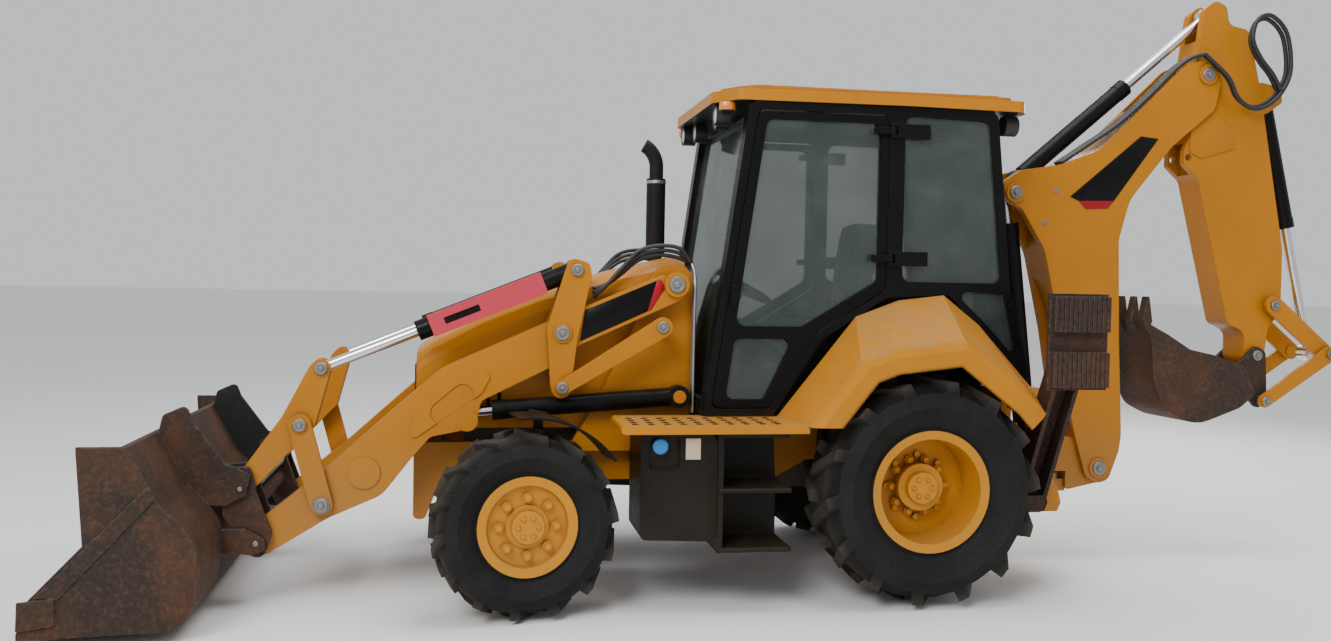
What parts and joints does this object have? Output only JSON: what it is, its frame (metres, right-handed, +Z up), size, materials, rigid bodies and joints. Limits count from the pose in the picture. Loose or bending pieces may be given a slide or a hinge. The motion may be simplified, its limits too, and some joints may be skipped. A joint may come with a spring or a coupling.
{
  "type": "backhoe loader",
  "caption": "Wheeled backhoe loader with a front bucket on parallel-lift arms, an enclosed cab, a folded digging arm behind and raised stabilizers.",
  "frame": {"origin": "on the ground, under the middle of the machine's length and width in its travelling pose", "axes": "+X forward, +Y to the machine's left, +Z up"},
  "size_m": [7.6667, 2.404, 3.6154],
  "materials": {
    "frame_paint": "amber machine paint",
    "engine_iron": "bare",
    "black_paint": "satin black",
    "body_paint": "amber machine paint",
    "grille_plastic": "moulded",
    "glass": "clear, faintly green",
    "seat_fabric": "woven",
    "trim_plastic": "grained",
    "stack_steel": "heat-proof black",
    "lamp_plastic": "moulded",
    "tyre_rubber": "dusty",
    "pin_steel": "worn",
    "rod_chrome": "polished",
    "lock_red": "gloss",
    "worn_steel": "rusty and worn"
  },
  "bodies": {
    "chassis": {"main_frame": "frame_paint", "engine": "engine_iron", "tank_box": "black_paint", "cab_frame": "black_paint", "roof": "body_paint", "cab_glass": "glass", "seat": "seat_fabric", "console": "trim_plastic", "fenders": "body_paint", "stack": "stack_steel", "lamps": "lamp_plastic", "front_axle": "black_paint", "rear_axle": "black_paint"},
    "hood": {"hood": "body_paint", "grille": "grille_plastic"},
    "door_left": {"door_left": "black_paint"},
    "door_right": {"door_right": "black_paint"},
    "knuckle_left": {"knuckle_left": "black_paint"},
    "knuckle_right": {"knuckle_right": "black_paint"},
    "front_wheel_left": {"front_tyre_left": "tyre_rubber", "front_rim_left": "frame_paint"},
    "front_wheel_right": {"front_tyre_right": "tyre_rubber", "front_rim_right": "frame_paint"},
    "rear_wheel_left": {"rear_tyre_left": "tyre_rubber", "rear_rim_left": "frame_paint"},
    "rear_wheel_right": {"rear_tyre_right": "tyre_rubber", "rear_rim_right": "frame_paint"},
    "tilt_barrels": {"tilt_barrels": "black_paint", "arm_lock": "lock_red"},
    "bucket": {"coupler": "worn_steel", "bucket": "worn_steel", "coupler_pins": "pin_steel", "lever_pins": "pin_steel"},
    "arms": {"arms": "body_paint", "idler_pins": "pin_steel"},
    "rear_levers": {"rear_levers": "body_paint"},
    "links": {"links": "body_paint"},
    "lift_barrels": {"lift_barrels": "black_paint"},
    "lift_rods": {"lift_rods": "rod_chrome"},
    "tilt_pistons": {"tilt_pistons": "pin_steel"},
    "tilt_rods": {"tilt_rods": "rod_chrome"},
    "front_levers": {"front_levers": "body_paint"},
    "idlers": {"idlers": "body_paint"},
    "swing_frame": {"swing_frame": "frame_paint"},
    "boom": {"boom": "body_paint"},
    "boom_barrel": {"boom_barrel": "black_paint"},
    "boom_rod": {"boom_rod": "rod_chrome"},
    "stick": {"stick": "body_paint"},
    "stick_barrel": {"stick_barrel": "black_paint"},
    "stick_rod": {"stick_rod": "rod_chrome"},
    "guide_links": {"guide_links": "body_paint"},
    "power_links": {"power_links": "body_paint"},
    "dig_barrel": {"dig_barrel": "black_paint"},
    "dig_rod": {"dig_rod": "rod_chrome"},
    "hoe_bucket": {"hoe_bucket": "worn_steel"},
    "leg_left": {"leg_left": "worn_steel"},
    "leg_right": {"leg_right": "worn_steel"},
    "pad_left": {"pad_left": "worn_steel"},
    "pad_right": {"pad_right": "worn_steel"}
  },
  "joints": [
    {"name": "steer_left", "type": "hinge", "parent": "chassis", "child": "knuckle_left", "pos_m": [1.5525, 0.74, 0.485], "axis": [0, 0, 1], "range_deg": [-48, 32]},
    {"name": "steer_right", "type": "hinge", "parent": "chassis", "child": "knuckle_right", "pos_m": [1.5525, -0.74, 0.485], "axis": [0, 0, 1], "range_deg": [-48.5, 32.5]},
    {"name": "front_wheel_left_spin", "type": "hinge", "parent": "knuckle_left", "child": "front_wheel_left", "pos_m": [1.5525, 0.74, 0.485], "axis": [-0.1392, 0.9903, 0], "continuous": true},
    {"name": "front_wheel_right_spin", "type": "hinge", "parent": "knuckle_right", "child": "front_wheel_right", "pos_m": [1.5525, -0.74, 0.485], "axis": [-0.1392, 0.9903, 0], "continuous": true},
    {"name": "rear_wheel_left_spin", "type": "hinge", "parent": "chassis", "child": "rear_wheel_left", "pos_m": [-0.6475, 0.86, 0.63], "axis": [0, 1, 0], "continuous": true},
    {"name": "rear_wheel_right_spin", "type": "hinge", "parent": "chassis", "child": "rear_wheel_right", "pos_m": [-0.6475, -0.86, 0.63], "axis": [0, 1, 0], "continuous": true},
    {"name": "door_left_swing", "type": "hinge", "parent": "chassis", "child": "door_left", "pos_m": [-0.5075, 0.718, 2], "axis": [0, 0, 1], "range_deg": [0, 90]},
    {"name": "door_right_swing", "type": "hinge", "parent": "chassis", "child": "door_right", "pos_m": [-0.5075, -0.718, 2], "axis": [0, 0, -1], "range_deg": [0, 90]},
    {"name": "hood_tilt", "type": "hinge", "parent": "chassis", "child": "hood", "pos_m": [2.0525, 0, 0.905], "axis": [0, 1, 0], "range_deg": [0, 65]},
    {"name": "loader_lift", "type": "hinge", "parent": "chassis", "child": "arms", "pos_m": [0.6825, 0, 1.72], "axis": [0, -1, 0], "range_deg": [-2, 74]},
    {"name": "rear_lever_turn", "type": "hinge", "parent": "arms", "child": "rear_levers", "pos_m": [1.3125, 0, 1.445], "axis": [0, -1, 0], "range_deg": [-58.96, 2.08]},
    {"name": "link_turn", "type": "hinge", "parent": "chassis", "child": "links", "pos_m": [0.7655, 0, 1.485], "axis": [0, -1, 0], "range_deg": [-2.67, 80.79]},
    {"name": "lift_barrel_turn", "type": "hinge", "parent": "chassis", "child": "lift_barrels", "pos_m": [0.6525, 0, 1.095], "axis": [0, -1, 0], "range_deg": [-2.13, 60.72]},
    {"name": "lift_rod_slide", "type": "slide", "parent": "lift_barrels", "child": "lift_rods", "axis": [0.9972, 0, -0.0744], "range_m": [-0.022, 0.6701]},
    {"name": "tilt_barrel_turn", "type": "hinge", "parent": "rear_levers", "child": "tilt_barrels", "pos_m": [1.2375, 0, 1.79], "axis": [0, -1, 0], "range_deg": [-2.08, 58.96]},
    {"name": "bucket_tilt", "type": "hinge", "parent": "arms", "child": "bucket", "pos_m": [2.8885, 0, 0.34], "axis": [0, 1, 0], "range_deg": [-35, 45]},
    {"name": "front_lever_turn", "type": "hinge", "parent": "bucket", "child": "front_levers", "pos_m": [2.9675, 0, 0.625], "axis": [0, -1, 0], "range_deg": [-35.33, 45.28]},
    {"name": "idler_turn", "type": "hinge", "parent": "arms", "child": "idlers", "pos_m": [2.5675, 0, 0.527], "axis": [0, 1, 0], "range_deg": [-23.07, 29.52]},
    {"name": "tilt_piston_slide", "type": "slide", "parent": "tilt_barrels", "child": "tilt_pistons", "axis": [0.9266, 0, -0.3762], "range_m": [-0.3551, 0.0135]},
    {"name": "tilt_rod_slide", "type": "slide", "parent": "tilt_pistons", "child": "tilt_rods", "axis": [0.9266, 0, -0.3762], "range_m": [-0.1713, 0.2191]},
    {"name": "swing", "type": "hinge", "parent": "chassis", "child": "swing_frame", "pos_m": [-1.8475, 0, 0.48], "axis": [0, 0, 1], "range_deg": [-90, 90]},
    {"name": "boom_lower", "type": "hinge", "parent": "swing_frame", "child": "boom", "pos_m": [-2.1725, 0, 0.595], "axis": [0, -1, 0], "range_deg": [0, 100]},
    {"name": "boom_barrel_turn", "type": "hinge", "parent": "swing_frame", "child": "boom_barrel", "pos_m": [-1.7425, 0, 0.72], "axis": [0, -1, 0], "range_deg": [-0.5, 92.6]},
    {"name": "boom_rod_slide", "type": "slide", "parent": "boom_barrel", "child": "boom_rod", "axis": [0.1199, 0, 0.9928], "range_m": [-0.004, 0.6372]},
    {"name": "stick_out", "type": "hinge", "parent": "boom", "child": "stick", "pos_m": [-2.8625, 0, 3.137], "axis": [0, 1, 0], "range_deg": [0, 110]},
    {"name": "stick_barrel_turn", "type": "hinge", "parent": "boom", "child": "stick_barrel", "pos_m": [-1.6325, 0, 2.44], "axis": [0, 1, 0], "range_deg": [-0.5, 1.6]},
    {"name": "stick_rod_slide", "type": "slide", "parent": "stick_barrel", "child": "stick_rod", "axis": [-0.7629, 0, 0.6466], "range_m": [-0.6772, 0.004]},
    {"name": "hoe_bucket_open", "type": "hinge", "parent": "stick", "child": "hoe_bucket", "pos_m": [-3.2875, 0, 1.325], "axis": [0, 1, 0], "range_deg": [0, 130]},
    {"name": "guide_link_turn", "type": "hinge", "parent": "stick", "child": "guide_links", "pos_m": [-3.3825, 0, 1.655], "axis": [0, 1, 0], "range_deg": [-0.5, 90.2]},
    {"name": "power_link_turn", "type": "hinge", "parent": "guide_links", "child": "power_links", "pos_m": [-3.7775, 0, 1.34], "axis": [0, 1, 0], "range_deg": [-51.2, 0.5]},
    {"name": "dig_barrel_turn", "type": "hinge", "parent": "stick", "child": "dig_barrel", "pos_m": [-3.3665, 0, 3.02], "axis": [0, 1, 0], "range_deg": [-0.5, 8.3]},
    {"name": "dig_rod_slide", "type": "slide", "parent": "dig_barrel", "child": "dig_rod", "axis": [-0.2376, 0, -0.9714], "range_m": [-0.6722, 0.004]},
    {"name": "leg_left_lower", "type": "hinge", "parent": "chassis", "child": "leg_left", "pos_m": [-1.4575, 0.55, 0.48], "axis": [-1, 0, 0], "range_deg": [0, 84]},
    {"name": "pad_left_turn", "type": "hinge", "parent": "leg_left", "child": "pad_left", "pos_m": [-1.4575, 1.02344, 1.4507], "axis": [-1, 0, 0], "range_deg": [-0.5, 6.38]},
    {"name": "leg_right_lower", "type": "hinge", "parent": "chassis", "child": "leg_right", "pos_m": [-1.4575, -0.55, 0.48], "axis": [1, 0, 0], "range_deg": [0, 84]},
    {"name": "pad_right_turn", "type": "hinge", "parent": "leg_right", "child": "pad_right", "pos_m": [-1.4575, -1.02344, 1.4507], "axis": [1, 0, 0], "range_deg": [-0.5, 6.38]}
  ],
  "couplings": [
    {"joint": "steer_right", "follows": "steer_left", "ratio": 1},
    {"joint": "rear_lever_turn", "follows": "loader_lift", "ratio": -0.79},
    {"joint": "link_turn", "follows": "loader_lift", "ratio": 1.085},
    {"joint": "lift_barrel_turn", "follows": "loader_lift", "ratio": 0.8138},
    {"joint": "lift_rod_slide", "follows": "loader_lift", "m_per_rad": 0.51574},
    {"joint": "tilt_barrel_turn", "follows": "loader_lift", "ratio": 0.7901},
    {"joint": "front_lever_turn", "follows": "bucket_tilt", "ratio": 0.995},
    {"joint": "idler_turn", "follows": "bucket_tilt", "ratio": 0.645},
    {"joint": "tilt_piston_slide", "follows": "loader_lift", "m_per_rad": -0.27181},
    {"joint": "tilt_rod_slide", "follows": "bucket_tilt", "m_per_rad": 0.27387},
    {"joint": "boom_barrel_turn", "follows": "boom_lower", "ratio": 0.921},
    {"joint": "boom_rod_slide", "follows": "boom_lower", "m_per_rad": 0.36281},
    {"joint": "stick_barrel_turn", "follows": "stick_out", "ratio": 0.01},
    {"joint": "stick_rod_slide", "follows": "stick_out", "m_per_rad": -0.35065},
    {"joint": "guide_link_turn", "follows": "hoe_bucket_open", "ratio": 0.69},
    {"joint": "power_link_turn", "follows": "hoe_bucket_open", "ratio": -0.39},
    {"joint": "dig_barrel_turn", "follows": "hoe_bucket_open", "ratio": 0.06},
    {"joint": "dig_rod_slide", "follows": "hoe_bucket_open", "m_per_rad": -0.2945},
    {"joint": "pad_left_turn", "follows": "leg_left_lower", "ratio": 0.07},
    {"joint": "pad_right_turn", "follows": "leg_right_lower", "ratio": 0.07}
  ]
}
